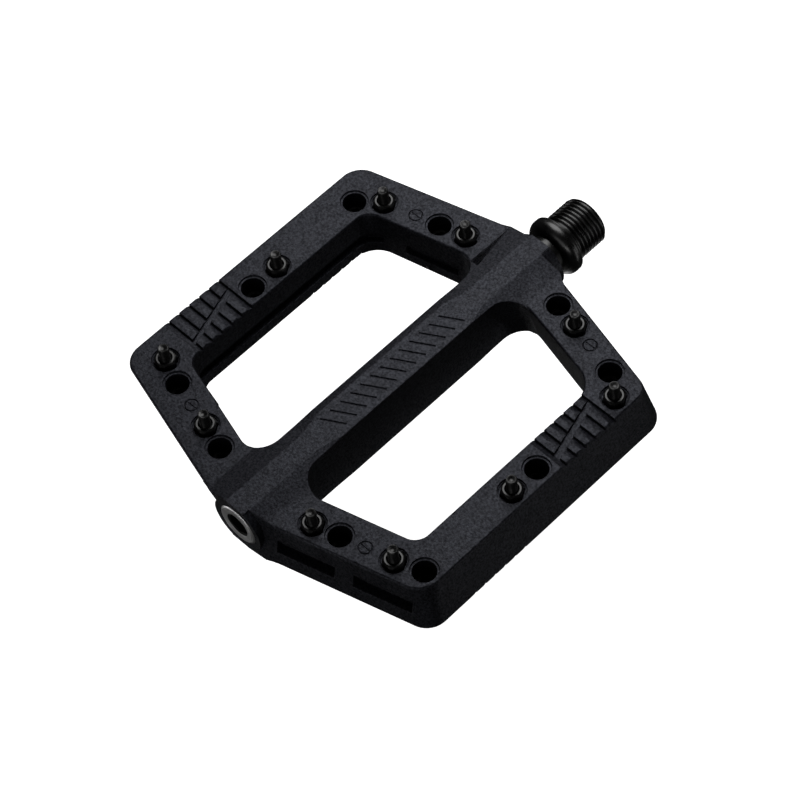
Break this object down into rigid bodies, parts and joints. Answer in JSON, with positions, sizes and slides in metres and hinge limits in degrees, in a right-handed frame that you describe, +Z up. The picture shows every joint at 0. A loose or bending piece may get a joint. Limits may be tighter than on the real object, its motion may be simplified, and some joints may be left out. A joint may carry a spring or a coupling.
{
  "type": "flat pedal",
  "caption": "Flat platform bicycle pedal with a moulded cage, bolt-through traction pins and a threaded axle.",
  "frame": {"origin": "on the axle's axis, at the shoulder that meets the crank arm", "axes": "+Y along the axle towards the crank arm, +Z up, +X forward on a right-hand pedal"},
  "size_m": [0.1112, 0.1303, 0.0232],
  "materials": {
    "cage_composite": "fine-grained black moulded nylon",
    "pin_steel": "black oxide, tips lighter",
    "nut_steel": "black oxide, bright at the chamfer",
    "axle_steel": "glossy black plated steel",
    "cap_aluminium": "dark grey anodised",
    "seal_rubber": "black rubber",
    "bush_polymer": "self-lubricating liner",
    "race_steel": "ground steel",
    "ball_steel": "polished",
    "retainer_brass": "stamped"
  },
  "bodies": {
    "axle": {"axle": "axle_steel", "inner_bearing_inner_race": "race_steel", "outer_bearing_inner_race": "race_steel", "bearing_spacer": "race_steel", "lock_washer": "race_steel", "lock_nut": "race_steel"},
    "cage": {"cage_body": "cage_composite", "pin_bolts_top": "pin_steel", "pin_bolts_bottom": "pin_steel", "pin_nuts_top": "nut_steel", "pin_nuts_bottom": "nut_steel", "inboard_seal": "seal_rubber", "inboard_bush": "bush_polymer", "end_cap": "cap_aluminium", "end_cap_o_ring": "seal_rubber", "inner_bearing_outer_race": "race_steel", "outer_bearing_outer_race": "race_steel", "inner_bearing_shields": "race_steel", "outer_bearing_shields": "race_steel"},
    "inner_balls": {"inner_bearing_balls": "ball_steel", "inner_bearing_retainer": "retainer_brass"},
    "outer_balls": {"outer_bearing_balls": "ball_steel", "outer_bearing_retainer": "retainer_brass"}
  },
  "joints": [
    {"name": "cage_spin", "type": "hinge", "parent": "axle", "child": "cage", "pos_m": [0, -0.06, 0], "axis": [0, 1, 0], "continuous": true},
    {"name": "inner_balls_roll", "type": "hinge", "parent": "axle", "child": "inner_balls", "pos_m": [0, -0.106, 0], "axis": [0, 1, 0], "continuous": true},
    {"name": "outer_balls_roll", "type": "hinge", "parent": "axle", "child": "outer_balls", "pos_m": [0, -0.111, 0], "axis": [0, 1, 0], "continuous": true}
  ],
  "couplings": [
    {"joint": "inner_balls_roll", "follows": "cage_spin", "ratio": 0.5894},
    {"joint": "outer_balls_roll", "follows": "cage_spin", "ratio": 0.5894}
  ]
}
